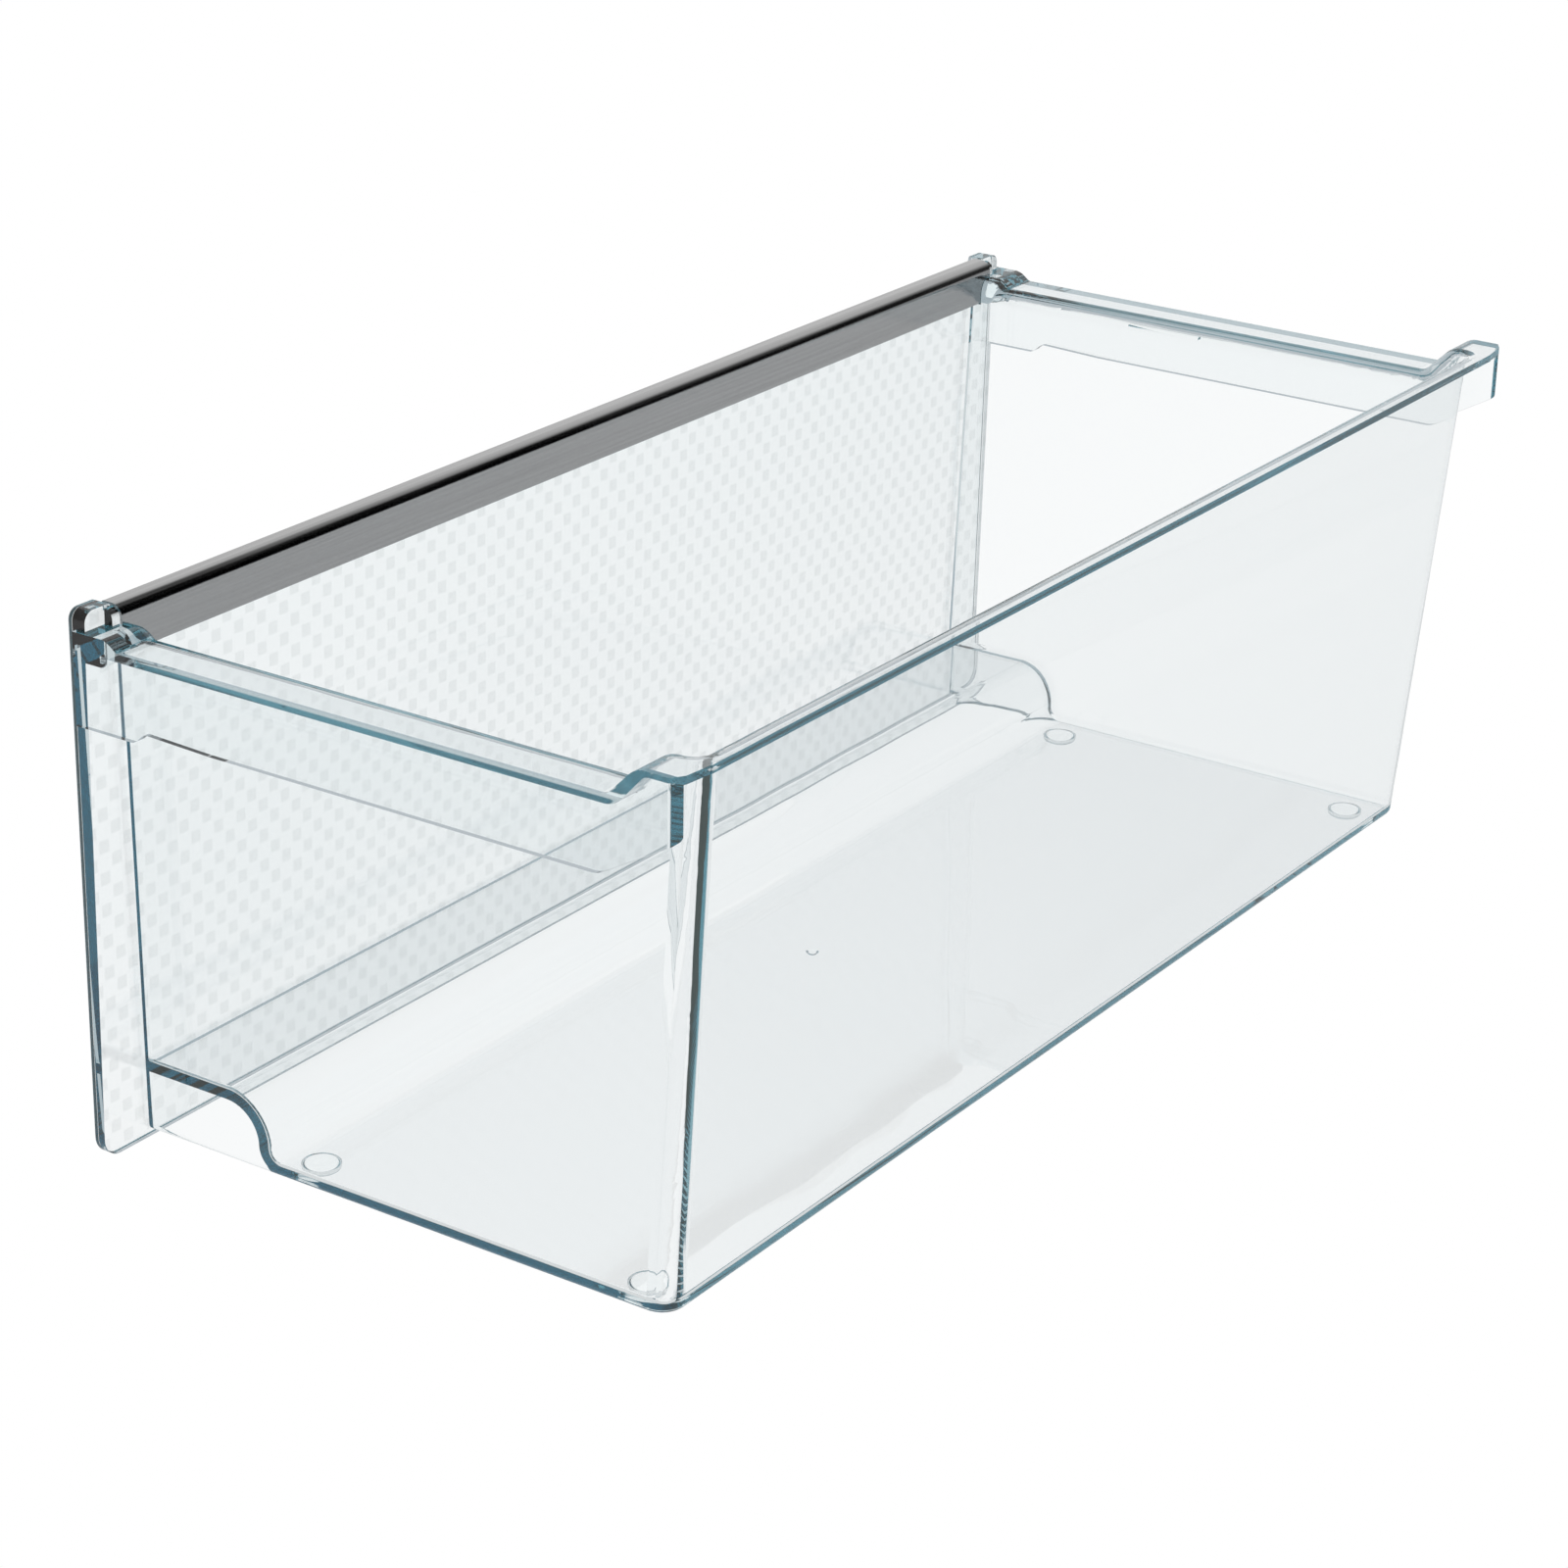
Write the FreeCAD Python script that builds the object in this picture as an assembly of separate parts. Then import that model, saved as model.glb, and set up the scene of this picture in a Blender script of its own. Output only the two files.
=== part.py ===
"""Clear pull-out drawer for a refrigerator compartment, built as named pieces, in millimetres.

X runs across the compartment, the patterned front faces -Y, Z is up. The drawer rests on z = 0 with
its four feet, and the middle of its outline lies on x = 0, y = 0.
"""

import math
import os

import FreeCAD
import Part

V = FreeCAD.Vector
os.makedirs("parts", exist_ok=True)

# Overall sizes
PANEL_HALF = 220.0          # half width of the front panel
Y_FRONT = -95.6             # front face of the decor plate
DEPTH = 191.0
Y_BACK = Y_FRONT + DEPTH    # outer edge of the rear rim
RIM_Z = 156.6               # top of the rear rim
FOOT_H = 2.0                # height of the feet, underside of the floor

# Runner flanges
FLANGE_HALF = PANEL_HALF + 1.6
LEDGE_Z = RIM_Z - 8.7       # top of the flanges
PLATE = 3.0
SKIRT_T = 3.0
SKIRT_LOW = LEDGE_Z - 20.5
SKIRT_BACK = Y_BACK - 3.2
RAMP_START = Y_BACK - 21.4  # from the flanges' top up to the rim
RAMP_END = Y_BACK - 12.9
CHAMFER_START = Y_BACK - 23.6
CHAMFER_RISE = 13.0

# Tub: outer faces lean outwards from the floor to the rim
HALF_TOP = FLANGE_HALF - 14.0
HALF_BOTTOM = HALF_TOP - 4.8
REAR_TOP = Y_BACK - 4.6
REAR_BOTTOM = REAR_TOP - 10.9
WALL = 2.5
FLOOR = 2.3
LIP_T = 2.2                 # rear rim
CORNER_R = 7.0              # outer radius of the two rear corners
POCKET_R = 3.2              # their inner radius at the floor
POCKET_R_TOP = 2.3          # and at the top
BOTTOM_R = 2.4              # outer rounding along the floor's edges
INNER_R = 2.0               # rounding inside, where the walls meet the floor
BEND_R = 4.8                # inner top edges, where the walls turn outwards

# Front wall, thinner at the bottom, and the decor plate on it
DECOR = 1.5
DECOR_GAP = 0.1             # thin layer of air between the two
FRONT_BACK_TOP = Y_FRONT + 5.9
FRONT_BACK_BOTTOM = FRONT_BACK_TOP - 2.2
PANEL_LOW = 0.3
PANEL_R = 6.0               # rounded lower corners of the panel
EAR = 9.2                   # width of the panel beside the metal strip
EAR_TOP = RIM_Z - 0.9
EAR_R = 3.2
SEAT_Z = RIM_Z - 3.2        # top of the panel between its ears

# Step in the floor behind the panel
HUMP_TOP = FOOT_H + 20.2
HUMP_BACK = Y_FRONT + 44.4
HUMP_R = 13.0
HUMP_SHEET = 2.5
HUMP_FOOT_R = 4.5           # where its rear face meets the floor

# The flanges are thicker beside the panel, with a step under each skirt
BLOCK_TOP = LEDGE_Z + 2.7
BLOCK_LOW = LEDGE_Z - PLATE - 2.7
BLOCK_BACK = Y_FRONT + 14.2
TAB_END = Y_FRONT + 22.5
TAB_LOW = SKIRT_LOW - 2.4

# Ridge that carries the metal strip, and the strip, a folded sheet with a small return
RIDGE_HALF = PANEL_HALF - 7.2
RIDGE_FRONT = Y_FRONT + 3.1
RIDGE_BACK = RIDGE_FRONT + 5.4
RIDGE_TOP = RIM_Z - 1.8
RIDGE_LOW = RIDGE_TOP - 11.6
STRIP_T = 0.8
STRIP_HALF = PANEL_HALF - 10.0
STRIP_TOP = RIDGE_TOP + STRIP_T
STRIP_LOW = RIDGE_LOW - STRIP_T - 0.3
STRIP_FRONT = RIDGE_FRONT - STRIP_T
STRIP_BACK = RIDGE_BACK + STRIP_T
STRIP_RETURN = 2.4

# Feet
FOOT_R = 5.4
FOOT_X = HALF_BOTTOM - 12.8
FOOT_YS = (HUMP_BACK + 9.9, REAR_BOTTOM - 14.3)

FRONT_CUT = FRONT_BACK_TOP - 3     # where the tub and the flanges end inside the front wall
REACH = FLANGE_HALF + 10           # wider than everything


def rise(z, bottom, top):
    """Value at height z of a face that leans evenly from the floor's underside to the rim."""
    return bottom + (top - bottom) * (z - FOOT_H) / (RIM_Z - FOOT_H)


def face(points, radii=None):
    """Flat face through the points, with the corners of the given radii rounded."""
    radii = radii or [0.0] * len(points)
    edges, firsts, n = [], [], len(points)
    ends = []
    for i in range(n):
        p, a, b = points[i], points[i - 1], points[(i + 1) % n]
        u, v = (a - p).normalize(), (b - p).normalize()
        if radii[i] > 0:
            half = u.getAngle(v) / 2
            cut = radii[i] / math.tan(half)
            centre = p + (u + v).normalize() * (radii[i] / math.sin(half))
            mid = centre + (p - centre).normalize() * radii[i]
            ends.append((p + u * cut, mid, p + v * cut))
        else:
            ends.append((p, None, p))
    for i in range(n):
        start, mid, stop = ends[i]
        if mid is not None:
            edges.append(Part.Arc(start, mid, stop).toShape())
        nxt = ends[(i + 1) % n][0]
        if (nxt - stop).Length > 1e-6:
            edges.append(Part.LineSegment(stop, nxt).toShape())
    return Part.Face(Part.Wire(edges))


def block(x0, x1, y0, y1, z0, z1):
    return Part.makeBox(x1 - x0, y1 - y0, z1 - z0, V(x0, y0, z0))


def yz(points, x0, x1, radii=None):
    """Prism of an outline given as (y, z), from x0 to x1."""
    return face([V(x0, y, z) for y, z in points], radii).extrude(V(x1 - x0, 0, 0))


def xz(points, y0, y1, radii=None):
    """Prism of an outline given as (x, z), from y0 to y1."""
    return face([V(x, y0, z) for x, z in points], radii).extrude(V(0, y1 - y0, 0))


def xy(points, z0, z1, radii=None):
    """Prism of an outline given as (x, y), from z0 to z1."""
    return face([V(x, y, z0) for x, y in points], radii).extrude(V(0, 0, z1 - z0))


def tub(z0, z1, inset, radii, fronts):
    """Leaning tub between two heights, its faces set in from the outer ones."""
    wires = []
    for z, front, radius in zip((z0, z1), fronts, radii):
        half, back = rise(z, HALF_BOTTOM, HALF_TOP) - inset, rise(z, REAR_BOTTOM, REAR_TOP) - inset
        points = [V(-half, front, z), V(half, front, z), V(half, back, z), V(-half, back, z)]
        wires.append(face(points, [0, 0, radius, radius]).OuterWire)
    return Part.makeLoft(wires, True, True)


def mirrored(shape):
    return shape.fuse(shape.mirror(V(0, 0, 0), V(1, 0, 0)))


def front_back(z):
    """Rear face of the front wall at height z."""
    return rise(z, FRONT_BACK_BOTTOM, FRONT_BACK_TOP)


def panel_outline(y0, y1):
    """The panel seen from the front: rounded corners, seat for the strip between two ears."""
    seat = PANEL_HALF - EAR
    points = [(-PANEL_HALF, PANEL_LOW), (PANEL_HALF, PANEL_LOW), (PANEL_HALF, EAR_TOP),
              (seat, EAR_TOP), (seat - 0.6, SEAT_Z), (-seat + 0.6, SEAT_Z), (-seat, EAR_TOP),
              (-PANEL_HALF, EAR_TOP)]
    return xz(points, y0, y1, [PANEL_R, PANEL_R, EAR_R, 0.8, 0.2, 0.2, 0.8, EAR_R])


def rounded(shape, radius, pick):
    """Shape with the edges that pick names by their middle point rounded."""
    edges = [e for e in shape.Edges if pick(e.valueAt((e.FirstParameter + e.LastParameter) / 2), e)]
    return shape.makeFillet(radius, edges)


# Height of the side walls and flanges along the depth: raised at the panel, ramp up to the rear rim
top_line = [(FRONT_CUT, BLOCK_TOP), (BLOCK_BACK, BLOCK_TOP), (BLOCK_BACK + 3.5, LEDGE_Z),
            (RAMP_START, LEDGE_Z), (RAMP_END, RIM_Z), (Y_BACK + 1, RIM_Z)]
top_radii = [0, 6, 2, 4, 6, 0]
envelope = yz(top_line + [(Y_BACK + 1, -5), (FRONT_CUT, -5)], -REACH, REACH, top_radii + [0, 0])

# Tub
outer = tub(FOOT_H, RIM_Z, 0, (CORNER_R, CORNER_R), (FRONT_CUT, FRONT_CUT))
outer = rounded(outer, BOTTOM_R, lambda m, e: m.z < FOOT_H + 0.01 and m.y > FRONT_CUT + 0.1)

# Runner flange on the side of +x: top plate, skirt, and the thick block beside the panel
plate_profile = top_line + [(Y_BACK + 1, RIM_Z - LIP_T), (RAMP_END + 1.4, RIM_Z - LIP_T),
                            (RAMP_START + 1.4, LEDGE_Z - PLATE), (FRONT_CUT, LEDGE_Z - PLATE)]
plate = yz(plate_profile, HALF_BOTTOM, FLANGE_HALF, top_radii + [0, 3, 7, 0])
skirt_end = SKIRT_BACK + 2.1
plan = xy([(HALF_BOTTOM, FRONT_CUT), (FLANGE_HALF, FRONT_CUT), (FLANGE_HALF, SKIRT_BACK),
           (FLANGE_HALF - SKIRT_T - 0.5, skirt_end), (HALF_TOP, Y_BACK), (HALF_BOTTOM, Y_BACK)],
          SKIRT_LOW - 10, RIM_Z + 1, [0, 0, 1.0, 1.0, 1.0, 0])
skirt_points = [(FRONT_CUT, TAB_LOW), (TAB_END, TAB_LOW), (TAB_END + 3.5, SKIRT_LOW + 0.7),
                (TAB_END + 25, SKIRT_LOW), (CHAMFER_START, SKIRT_LOW),
                (skirt_end, SKIRT_LOW + CHAMFER_RISE), (skirt_end, RIM_Z), (FRONT_CUT, RIM_Z)]
skirt = yz(skirt_points, FLANGE_HALF - SKIRT_T, FLANGE_HALF, [0, 3, 2, 8, 8, 4, 0, 0])
thick = yz([(FRONT_CUT, BLOCK_LOW), (BLOCK_BACK - 1, BLOCK_LOW), (BLOCK_BACK - 1, RIM_Z),
            (FRONT_CUT, RIM_Z)], HALF_BOTTOM, FLANGE_HALF, [0, 2.5, 0, 0])
flange = plate.fuse(skirt).common(plan).fuse(thick)
lip = block(-HALF_TOP - 2, HALF_TOP + 2, REAR_TOP - 6, Y_BACK, RIM_Z - LIP_T, RIM_Z)
shell = outer.fuse([mirrored(flange), lip]).common(envelope)
walls, under_z = outer.Shells[0], RIM_Z - LIP_T + 0.01
shell = rounded(shell, BEND_R - WALL, lambda m, e: LEDGE_Z - PLATE - 0.01 < m.z < under_z
                and m.y > BLOCK_BACK and e.BoundBox.XLength + e.BoundBox.YLength > 0.5
                and Part.Vertex(m).distToShape(walls)[0] < 1e-3)

# Inside: a leaning pocket with rounded edges, standing off the step in the floor
low, high = FOOT_H + FLOOR, RIM_Z + 13
pocket = tub(low, high, WALL, (POCKET_R, POCKET_R_TOP), (front_back(low), front_back(high)))
step_y = front_back(HUMP_TOP) - 5
step = yz([(step_y, -1), (HUMP_BACK, -1), (HUMP_BACK, HUMP_TOP), (step_y, HUMP_TOP)], -REACH, REACH,
          [0, 0, HUMP_R, 0])
ridge_y = front_back(RIDGE_LOW) - 0.5
ridge = yz([(RIDGE_FRONT, SEAT_Z - 1), (RIDGE_FRONT, RIDGE_TOP), (RIDGE_BACK, RIDGE_TOP),
            (RIDGE_BACK, RIDGE_LOW), (ridge_y, RIDGE_LOW), (ridge_y, SEAT_Z - 1)],
           -RIDGE_HALF, RIDGE_HALF, [0, 0.2, 2.7, 0.6, 0, 0])
pocket = pocket.cut(step).cut(ridge)
pocket = rounded(pocket, HUMP_FOOT_R, lambda m, e: abs(m.y - HUMP_BACK) < 0.01 and abs(m.x) < 1
                 and m.z < low + 0.01)
low_edges = [e for e in pocket.Edges if e.BoundBox.ZMax < HUMP_TOP + 0.1
             and not (e.BoundBox.XLength > HALF_BOTTOM and e.BoundBox.YMax < REAR_BOTTOM - 20)]
pocket = pocket.makeFillet(INNER_R, low_edges)

under_y, flare = HUMP_BACK - HUMP_SHEET, HUMP_FOOT_R + HUMP_SHEET
under = yz([(front_back(HUMP_TOP), -5), (under_y + flare, -5), (under_y + flare, FOOT_H),
            (under_y, FOOT_H), (under_y, HUMP_TOP - HUMP_SHEET),
            (front_back(HUMP_TOP), HUMP_TOP - HUMP_SHEET)],
           -REACH, REACH, [0, 0, 0, flare, HUMP_R - HUMP_SHEET, 0])
under = under.common(tub(-6, 60, WALL, (POCKET_R, POCKET_R), (front_back(0), front_back(60))))

face_y, high = Y_FRONT + DECOR + DECOR_GAP, RIM_Z + 5
front = yz([(face_y, -1), (front_back(-1), -1), (front_back(high), high), (face_y, high)],
           -REACH, REACH).common(panel_outline(Y_FRONT, RIDGE_BACK + 10))
body = shell.fuse([front, ridge]).cut(pocket).cut(under)

# Four round feet and the little mark left where the plastic came in
foot = Part.makeCylinder(FOOT_R, FOOT_H + 0.6)
foot = rounded(foot, 1.4, lambda m, e: m.z < 0.01)
feet = [foot.translated(V(x, y, 0)) for x in (-FOOT_X, FOOT_X) for y in FOOT_YS]
gate = Part.makeCone(1.2, 2.0, 0.8, V(4, -12, FOOT_H - 0.7))
body = body.fuse(feet + [gate]).removeSplitter()

# Bend where the inner faces turn outwards into the flanges and the rear rim
bend = []
for edge in body.Edges:
    middle = Part.Vertex(edge.valueAt((edge.FirstParameter + edge.LastParameter) / 2))
    on_both = max(middle.distToShape(pocket)[0], middle.distToShape(envelope)[0]) < 1e-3
    if on_both and middle.Z > LEDGE_Z - 0.5 and middle.Y > BLOCK_BACK - 8:
        bend.append(edge)
body = body.makeFillet(BEND_R, bend)

# Slot that lets the strip's rear leg into the side walls
reach = STRIP_HALF + 0.3
leg = block(-reach, reach, RIDGE_BACK, STRIP_BACK + 0.1, STRIP_LOW - 0.1, RIM_Z)
hook = block(-reach, reach, STRIP_BACK - STRIP_RETURN - 0.1, RIDGE_BACK, STRIP_LOW - 0.1, RIDGE_LOW)
body = body.cut([leg, hook])
body.exportStep("parts/drawer_body.step")

# Patterned decor plate on the front wall
decor = panel_outline(Y_FRONT, Y_FRONT + DECOR)
decor = rounded(decor, 0.6, lambda m, e: abs(m.y - Y_FRONT) < 1e-3)
decor.exportStep("parts/decor_plate.step")

# Metal strip: folded sheet over the ridge, with a small return under its rear leg
t = STRIP_T
hook_y = STRIP_BACK - STRIP_RETURN
outline = [(STRIP_FRONT, SEAT_Z), (STRIP_FRONT, STRIP_TOP), (STRIP_BACK, STRIP_TOP),
           (STRIP_BACK, STRIP_LOW), (hook_y, STRIP_LOW), (hook_y, STRIP_LOW + t),
           (STRIP_BACK - t, STRIP_LOW + t), (STRIP_BACK - t, STRIP_TOP - t),
           (STRIP_FRONT + t, STRIP_TOP - t), (STRIP_FRONT + t, SEAT_Z)]
strip = yz(outline, -STRIP_HALF, STRIP_HALF, [0, 0.9, 3.5, 1.0, 0, 0, 0.2, 2.7, 0.1, 0])
strip.exportStep("parts/trim_strip.step")
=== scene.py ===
"""Looks of the clear refrigerator drawer: camera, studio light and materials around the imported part."""

import math

import bpy
from mathutils import Matrix, Vector


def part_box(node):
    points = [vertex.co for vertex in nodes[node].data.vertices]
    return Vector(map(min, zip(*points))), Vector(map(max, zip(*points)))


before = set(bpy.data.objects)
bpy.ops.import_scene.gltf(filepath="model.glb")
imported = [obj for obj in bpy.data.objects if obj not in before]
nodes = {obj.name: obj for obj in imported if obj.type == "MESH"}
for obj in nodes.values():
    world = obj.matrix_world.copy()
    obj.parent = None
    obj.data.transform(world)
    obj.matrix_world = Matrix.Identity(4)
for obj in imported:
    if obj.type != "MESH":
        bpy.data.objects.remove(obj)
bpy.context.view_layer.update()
scene = bpy.context.scene

# Camera
PHOTO = 1600                # pixels across the square photograph
FOCAL = 4078.08             # focal length in those pixels
SENSOR = 36                 # width of the camera's sensor in millimetres
AZIMUTH, ELEVATION, ROLL = 123.70, 22.54, 1.22
EYE = (0.90475, 0.5790, 0.50378)

# Studio: brightness over height, which runs from 0 straight below to 1 straight above
ROOM = [(0.0, 0.4), (0.49, 0.4), (0.53, 0.0), (0.88, 0.0), (0.94, 1.0), (1.0, 1.0)]
BACKDROP = [(0.0, 1.0), (0.83, 0.85), (0.86, 0.0), (0.88, 0.0), (0.94, 1.0), (1.0, 1.0)]
AWAY = (-0.83, -0.55)       # where the backdrop stands, in plan
BACKDROP_WIDTH = [(0.0, 0.0), (0.44, 0.0), (0.62, 1.0), (1.0, 1.0)]    # share of backdrop, along AWAY
TURNED = (0.12, 0.18, 0.23, 1)      # surroundings to light that has turned inside the plastic
ROOM_TURNS, FLOOR_TURNS = 0.5, 1.5  # the room takes that colour after one turn, the floor after two
MIRRORED = 0.40             # share of white in the surroundings that smooth surfaces mirror
FLOOR_GREY = (0.52, 0.53, 0.54, 1)
FLOOR_RADIUS = 8
BOUNCES = 96                # light turns many times between the clear walls

# Clear plastic
IOR = 1.57
TINT, DENSITY = (0.05, 0.60, 0.70, 1), 10.0     # what is left of light, and how fast it is lost
# painted glow: colour and strength of a faint light the plastic itself gives off, standing in for light
# that haze scatters back
PAINTED_HAZE_GLOW, PAINTED_HAZE_GLOW_STRENGTH = (1.0, 0.79, 0.67, 1), 0.0015
RIPPLE, RIPPLE_DEPTH, RIPPLE_SCALE = 0.03, 0.01, 9.0

# Checker on the decor plate
CELL = 0.0045               # pitch
SQUARE = 0.0036             # side of a frosted square
CHECK_X, CHECK_Z = 0.0028, 0.0037   # middle of one square
CORNER = 0.0008             # rounding of its corners
EDGE_SLOPE = 2200.0         # how sharply frost begins, per metre
FROST, FROST_ROUGHNESS = (0.84, 0.85, 0.85, 1), 0.16
SKIN = 2e-4                 # the squares lie on the plate's inner face, within this depth

# Satin metal
GRAIN_STRETCH, GRAIN_SCALE = (1, 90, 90), 14.0
METAL, METAL_ROUGHNESS = [(0.3, 0.40), (0.7, 0.45)], [(0.3, 0.12), (0.7, 0.19)]


def camera():
    """Camera at the photograph's place, looking the way it looked."""
    a, e, r = (math.radians(v) for v in (AZIMUTH, ELEVATION, ROLL))
    back = Vector((math.sin(a) * math.cos(e), -math.cos(a) * math.cos(e), math.sin(e)))
    right = (-back).cross(Vector((0, 0, 1))).normalized()
    up = right.cross(-back)
    right, up = right * math.cos(r) + up * math.sin(r), up * math.cos(r) - right * math.sin(r)
    cam = bpy.data.objects.new("Camera", bpy.data.cameras.new("Camera"))
    cam.data.sensor_width = SENSOR
    cam.data.lens = FOCAL / PHOTO * SENSOR
    cam.data.clip_start = 0.01
    cam.matrix_world = Matrix.Translation(EYE) @ Matrix((right, up, back)).transposed().to_4x4()
    scene.collection.objects.link(cam)
    scene.camera = cam


def tree(owner):
    """Empty node tree of a material or a world."""
    owner.use_nodes = True
    nt = owner.node_tree
    nt.nodes.clear()
    return nt


def node(nt, kind, **values):
    """New node; names in lower case are its properties, the others its inputs."""
    n = nt.nodes.new(kind)
    for key, value in values.items():
        if key[0].isupper():
            n.inputs[key.replace("_", " ")].default_value = value
        else:
            setattr(n, key, value)
    return n


def ramp(nt, source, stops):
    """Ramp of greys over a value, as (position, brightness) pairs."""
    n = node(nt, "ShaderNodeValToRGB")
    nt.links.new(source, n.inputs[0])
    for i, (at, v) in enumerate(stops):
        e = n.color_ramp.elements[i] if i < 2 else n.color_ramp.elements.new(at)
        e.position, e.color = at, (v, v, v, 1)
    return n.outputs[0]


def math_node(nt, operation, *values, clamp=False):
    """Result of an operation on numbers and on other nodes' outputs."""
    n = node(nt, "ShaderNodeMath", operation=operation, use_clamp=clamp)
    for i, v in enumerate(values):
        if isinstance(v, (int, float)):
            n.inputs[i].default_value = v
        else:
            nt.links.new(v, n.inputs[i])
    return n.outputs[0]


def mixed(nt, share, *colors):
    """Colour between two others, each a fixed colour or another node's output."""
    mix = node(nt, "ShaderNodeMix", data_type="RGBA")
    nt.links.new(share, mix.inputs["Factor"])
    ends = [socket for socket in mix.inputs if socket.type == "RGBA"]
    for socket, color in zip(ends, colors):
        if isinstance(color, tuple):
            socket.default_value = color
        else:
            nt.links.new(color, socket)
    return mix.outputs[2]


def noise(nt, stretch, scale):
    """Noise over the object's own coordinates, stretched along its axes."""
    co = node(nt, "ShaderNodeTexCoord")
    mapping = node(nt, "ShaderNodeMapping", Scale=stretch)
    spots = node(nt, "ShaderNodeTexNoise", Scale=scale, Detail=2.0)
    nt.links.new(co.outputs["Object"], mapping.inputs[0])
    nt.links.new(mapping.outputs[0], spots.inputs["Vector"])
    return spots.outputs[0]


def seen_white(nt, shader, out, turns):
    """Output that is plain white where it is looked at, also through clear walls, that has the colour
    TURNED for light which has turned more often than turns inside the plastic, and that is the shader
    with a share of white in reflections."""
    kind = "ShaderNodeBackground" if out.type == "OUTPUT_WORLD" else "ShaderNodeEmission"
    white, dim = node(nt, kind, Color=(1, 1, 1, 1)), node(nt, kind, Color=TURNED)
    path = node(nt, "ShaderNodeLightPath")
    through = path.outputs["Is Transmission Ray"]
    straight = math_node(nt, "LESS_THAN", path.outputs["Glossy Depth"], 0.5)
    straight = math_node(nt, "MULTIPLY", straight, through)
    mirrored = math_node(nt, "MULTIPLY", path.outputs["Is Glossy Ray"], path.outputs["Is Singular Ray"])
    straight = math_node(nt, "MAXIMUM", straight, math_node(nt, "MULTIPLY", mirrored, MIRRORED))
    looked_at = math_node(nt, "MAXIMUM", path.outputs["Is Camera Ray"], straight)
    turned = math_node(nt, "GREATER_THAN", path.outputs["Glossy Depth"], turns)
    turned = math_node(nt, "MULTIPLY", turned, through)
    for other, share in ((dim, turned), (white, looked_at)):
        mix = node(nt, "ShaderNodeMixShader")
        nt.links.new(share, mix.inputs[0])
        nt.links.new(shader, mix.inputs[1])
        nt.links.new(other.outputs[0], mix.inputs[2])
        shader = mix.outputs[0]
    nt.links.new(shader, out.inputs["Surface"])


def studio():
    """Pale backdrop, a dim room above and beside it, and a soft light overhead."""
    w = bpy.data.worlds.new("Studio")
    scene.world = w
    nt = tree(w)
    co = node(nt, "ShaderNodeTexCoord")
    sep = node(nt, "ShaderNodeSeparateXYZ")
    nt.links.new(co.outputs["Generated"], sep.inputs[0])
    height = math_node(nt, "MULTIPLY_ADD", sep.outputs["Z"], 0.5, 0.5)
    away = math_node(nt, "ADD", math_node(nt, "MULTIPLY", sep.outputs["X"], AWAY[0]),
                     math_node(nt, "MULTIPLY", sep.outputs["Y"], AWAY[1]))
    room, backdrop = ramp(nt, height, ROOM), ramp(nt, height, BACKDROP)
    color = mixed(nt, ramp(nt, away, BACKDROP_WIDTH), room, backdrop)
    bg = node(nt, "ShaderNodeBackground")
    nt.links.new(color, bg.inputs[0])
    seen_white(nt, bg.outputs[0], node(nt, "ShaderNodeOutputWorld"), ROOM_TURNS)


def floor():
    """Pale floor, white to the camera."""
    bpy.ops.object.select_all(action="DESELECT")
    bpy.ops.mesh.primitive_circle_add(vertices=96, radius=FLOOR_RADIUS, fill_type="NGON",
                                      location=(0, 0, 0))
    o = bpy.context.object
    o.name = "floor"
    m = bpy.data.materials.new("floor")
    nt = tree(m)
    lit = node(nt, "ShaderNodeEmission", Color=FLOOR_GREY, Strength=1.0)
    seen_white(nt, lit.outputs[0], node(nt, "ShaderNodeOutputMaterial"), FLOOR_TURNS)
    o.data.materials.append(m)


def clear_plastic(name):
    """Clear moulded plastic. Its colour comes from what light loses on its way through, and from a faint
    painted glow of its own that stands in for the light haze would give back, which only long ways inside
    the walls add up."""
    m = bpy.data.materials.new(name)
    nt = tree(m)
    # the emission here is a painted glow standing in for light that haze scatters back
    shader = node(nt, "ShaderNodeBsdfPrincipled", Base_Color=(1, 1, 1, 1), Roughness=0.0, IOR=IOR,
                  Transmission_Weight=1.0, Emission_Color=PAINTED_HAZE_GLOW, Emission_Strength=PAINTED_HAZE_GLOW_STRENGTH)
    volume = node(nt, "ShaderNodeVolumeAbsorption", Color=TINT, Density=DENSITY)
    out = node(nt, "ShaderNodeOutputMaterial")
    ripple = node(nt, "ShaderNodeBump", Strength=RIPPLE, Distance=RIPPLE_DEPTH)
    nt.links.new(noise(nt, (1, 1, 1), RIPPLE_SCALE), ripple.inputs["Height"])
    nt.links.new(ripple.outputs[0], shader.inputs["Normal"])
    nt.links.new(shader.outputs[0], out.inputs["Surface"])
    nt.links.new(volume.outputs[0], out.inputs["Volume"])
    m.cycles.emission_sampling = "NONE"
    return m


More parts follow.
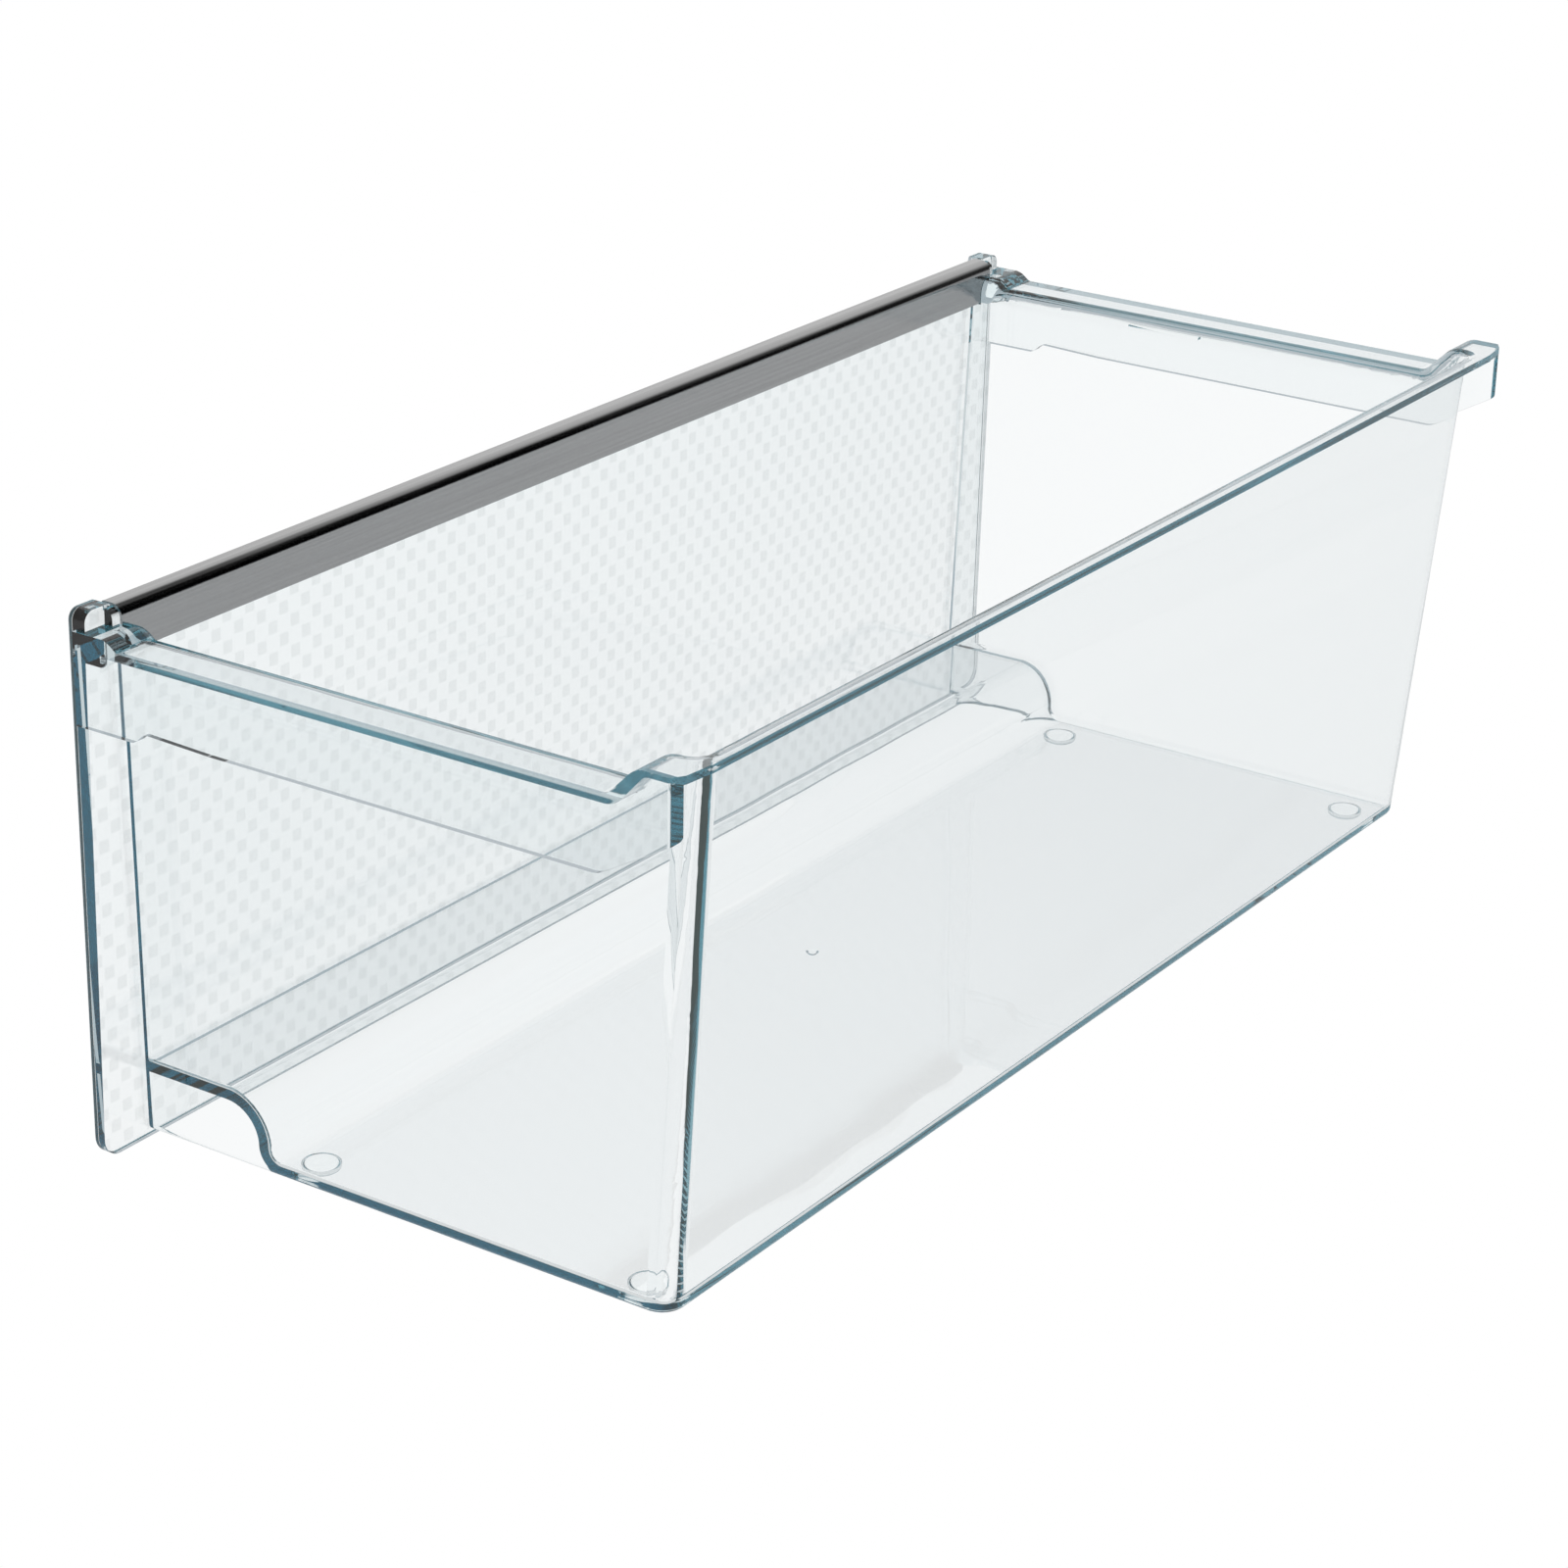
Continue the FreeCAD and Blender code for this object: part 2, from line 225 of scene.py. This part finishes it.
def patterned(mat):
    """Adds frosted squares in every other cell of the plate's inner face, along X and Z."""
    nt = mat.node_tree
    shader = next(n for n in nt.nodes if n.type == "BSDF_PRINCIPLED")
    co = node(nt, "ShaderNodeTexCoord")
    sep = node(nt, "ShaderNodeSeparateXYZ")
    nt.links.new(co.outputs["Object"], sep.inputs[0])
    lattices = []
    for shift in (0.0, CELL):
        sides = []
        for axis, start in (("X", CHECK_X), ("Z", CHECK_Z)):
            at = math_node(nt, "SUBTRACT", sep.outputs[axis], start + shift - CELL)
            cell = math_node(nt, "FLOORED_MODULO", at, 2 * CELL)
            sides.append(math_node(nt, "ABSOLUTE", math_node(nt, "SUBTRACT", cell, CELL)))
        off = math_node(nt, "SMOOTH_MAX", sides[0], sides[1], CORNER)
        inside = SQUARE / 2 * EDGE_SLOPE + 0.5
        lattices.append(math_node(nt, "MULTIPLY_ADD", off, -EDGE_SLOPE, inside, clamp=True))
    mask = math_node(nt, "MAXIMUM", *lattices)
    inner = math_node(nt, "GREATER_THAN", sep.outputs["Y"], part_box("decor_plate")[1].y - SKIN)
    mask = math_node(nt, "MULTIPLY", mask, inner)
    nt.links.new(mixed(nt, mask, (1, 1, 1, 1), FROST), shader.inputs["Base Color"])
    nt.links.new(math_node(nt, "MULTIPLY", mask, FROST_ROUGHNESS), shader.inputs["Roughness"])
    return mat


def satin_metal():
    """Dark satin metal, brushed along X."""
    m = bpy.data.materials.new("satin_metal")
    nt = tree(m)
    shader = node(nt, "ShaderNodeBsdfPrincipled", Metallic=1.0)
    out = node(nt, "ShaderNodeOutputMaterial")
    grain = noise(nt, GRAIN_STRETCH, GRAIN_SCALE)
    nt.links.new(ramp(nt, grain, METAL), shader.inputs["Base Color"])
    nt.links.new(ramp(nt, grain, METAL_ROUGHNESS), shader.inputs["Roughness"])
    nt.links.new(shader.outputs[0], out.inputs["Surface"])
    return m


def give(obj, mat):
    """Puts the material in every slot of the piece."""
    for i in range(len(obj.data.materials)):
        obj.data.materials[i] = mat


camera()
studio()
scene.view_settings.view_transform = "Standard"
scene.cycles.max_bounces = BOUNCES
scene.cycles.transmission_bounces = BOUNCES
scene.cycles.glossy_bounces = BOUNCES

floor()
give(nodes["drawer_body"], clear_plastic("clear_plastic"))
give(nodes["decor_plate"], patterned(clear_plastic("patterned_plastic")))
give(nodes["trim_strip"], satin_metal())
